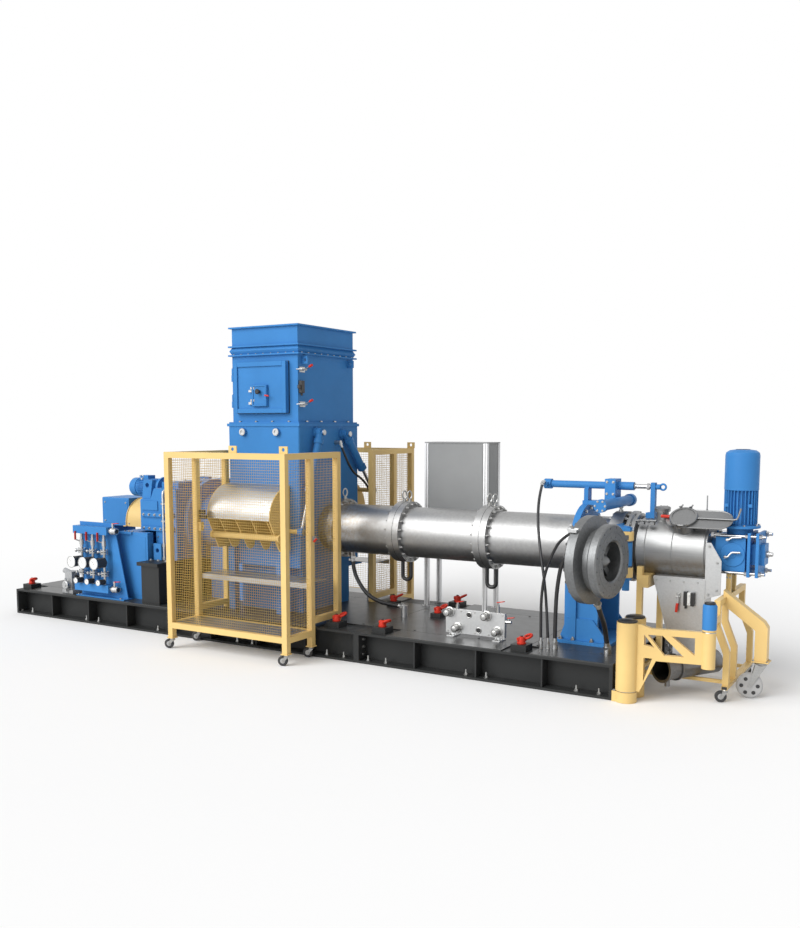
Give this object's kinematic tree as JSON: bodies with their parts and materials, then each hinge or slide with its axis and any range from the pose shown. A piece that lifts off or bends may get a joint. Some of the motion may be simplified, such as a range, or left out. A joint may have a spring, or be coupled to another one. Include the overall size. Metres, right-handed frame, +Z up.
{
  "type": "plastic extruder line",
  "caption": "Skid-mounted plastic extruder line: drive gearbox, feed hopper in a guard cage, flanged barrel, open die head and a pelletizer on a swing-arm trolley.",
  "frame": {"origin": "on the floor under the feed hopper's centre line, at the underside of a skid cross beam", "axes": "+X along the barrel towards the discharge, +Y away from the operator's side, +Z up"},
  "size_m": [8.775, 2.9222, 3.37],
  "materials": {
    "black_steel": "satin",
    "deck_steel": "satin",
    "red_paint": "satin",
    "blue_paint": "satin",
    "yellow_paint": "satin",
    "bright_steel": "brushed",
    "barrel_steel": "brushed",
    "cast_steel": "machined",
    "grey_paint": "satin",
    "aluminium": "anodised",
    "dark_pipe": "satin",
    "castor": "matte",
    "hose": "matte"
  },
  "bodies": {
    "line": {"skid_rear": "black_steel", "skid_front": "black_steel", "deck_plates": "deck_steel", "lifting_rings": "red_paint", "gearbox_plinth": "black_steel", "gearbox": "blue_paint", "drive_pedestal": "blue_paint", "coupling_guard": "yellow_paint", "drive_motor": "blue_paint", "oil_pump_motor": "blue_paint", "oil_pipes": "bright_steel", "output_neck": "blue_paint", "water_rack": "blue_paint", "water_valves": "bright_steel", "dosing_pump": "grey_paint", "cage_frame": "yellow_paint", "cage_mesh_front": "yellow_paint", "cage_mesh_left": "yellow_paint", "cage_mesh_right": "yellow_paint", "cage_floor": "bright_steel", "cage_castors": "castor", "hopper_base": "blue_paint", "hopper_box": "blue_paint", "door_clamps": "bright_steel", "feed_cover": "bright_steel", "feed_deflector": "yellow_paint", "feed_stand": "blue_paint", "barrel_feed": "barrel_steel", "barrel_middle": "barrel_steel", "barrel_outlet": "barrel_steel", "rear_cage": "yellow_paint", "rear_cage_mesh": "yellow_paint", "cabinet": "grey_paint", "cabinet_posts": "aluminium", "valve_block": "bright_steel", "die_column": "blue_paint", "die_cylinders": "blue_paint", "die_head": "cast_steel", "die_hinge": "blue_paint", "pivot_posts": "yellow_paint", "hopper_cylinders": "blue_paint", "jumper_pipes": "dark_pipe", "column_hoses": "hose", "die_hose": "hose", "barrel_hose": "hose", "hopper_hose": "hose", "hose_fittings": "bright_steel"},
    "hopper_door": {"hopper_door": "blue_paint"},
    "door_flap": {"door_flap": "blue_paint"},
    "swing_arm": {"swing_arm": "yellow_paint"},
    "trolley": {"pelletizer_drum": "bright_steel", "discharge_chute": "bright_steel", "outlet_tube": "dark_pipe", "cutter_gearbox": "blue_paint", "cutter_motor": "blue_paint", "trolley_frame": "yellow_paint", "trolley_castors": "castor", "pull_arm": "blue_paint"}
  },
  "joints": [
    {"name": "door_hinge", "type": "hinge", "parent": "line", "child": "hopper_door", "pos_m": [-0.401, -0.546, 2.72], "axis": [0, 0, -1], "range_deg": [0, 110]},
    {"name": "flap_hinge", "type": "hinge", "parent": "hopper_door", "child": "door_flap", "pos_m": [-0.133, -0.579, 2.635], "axis": [0, 0, -1], "range_deg": [0, 100]},
    {"name": "arm_swing", "type": "hinge", "parent": "line", "child": "swing_arm", "pos_m": [4.125, -0.905, 0.4], "axis": [0, 0, -1], "range_deg": [0, 90]},
    {"name": "trolley_swing", "type": "hinge", "parent": "swing_arm", "child": "trolley", "pos_m": [4.77, -0.8, 0.6], "axis": [0, 0, -1], "range_deg": [0, 60]}
  ]
}
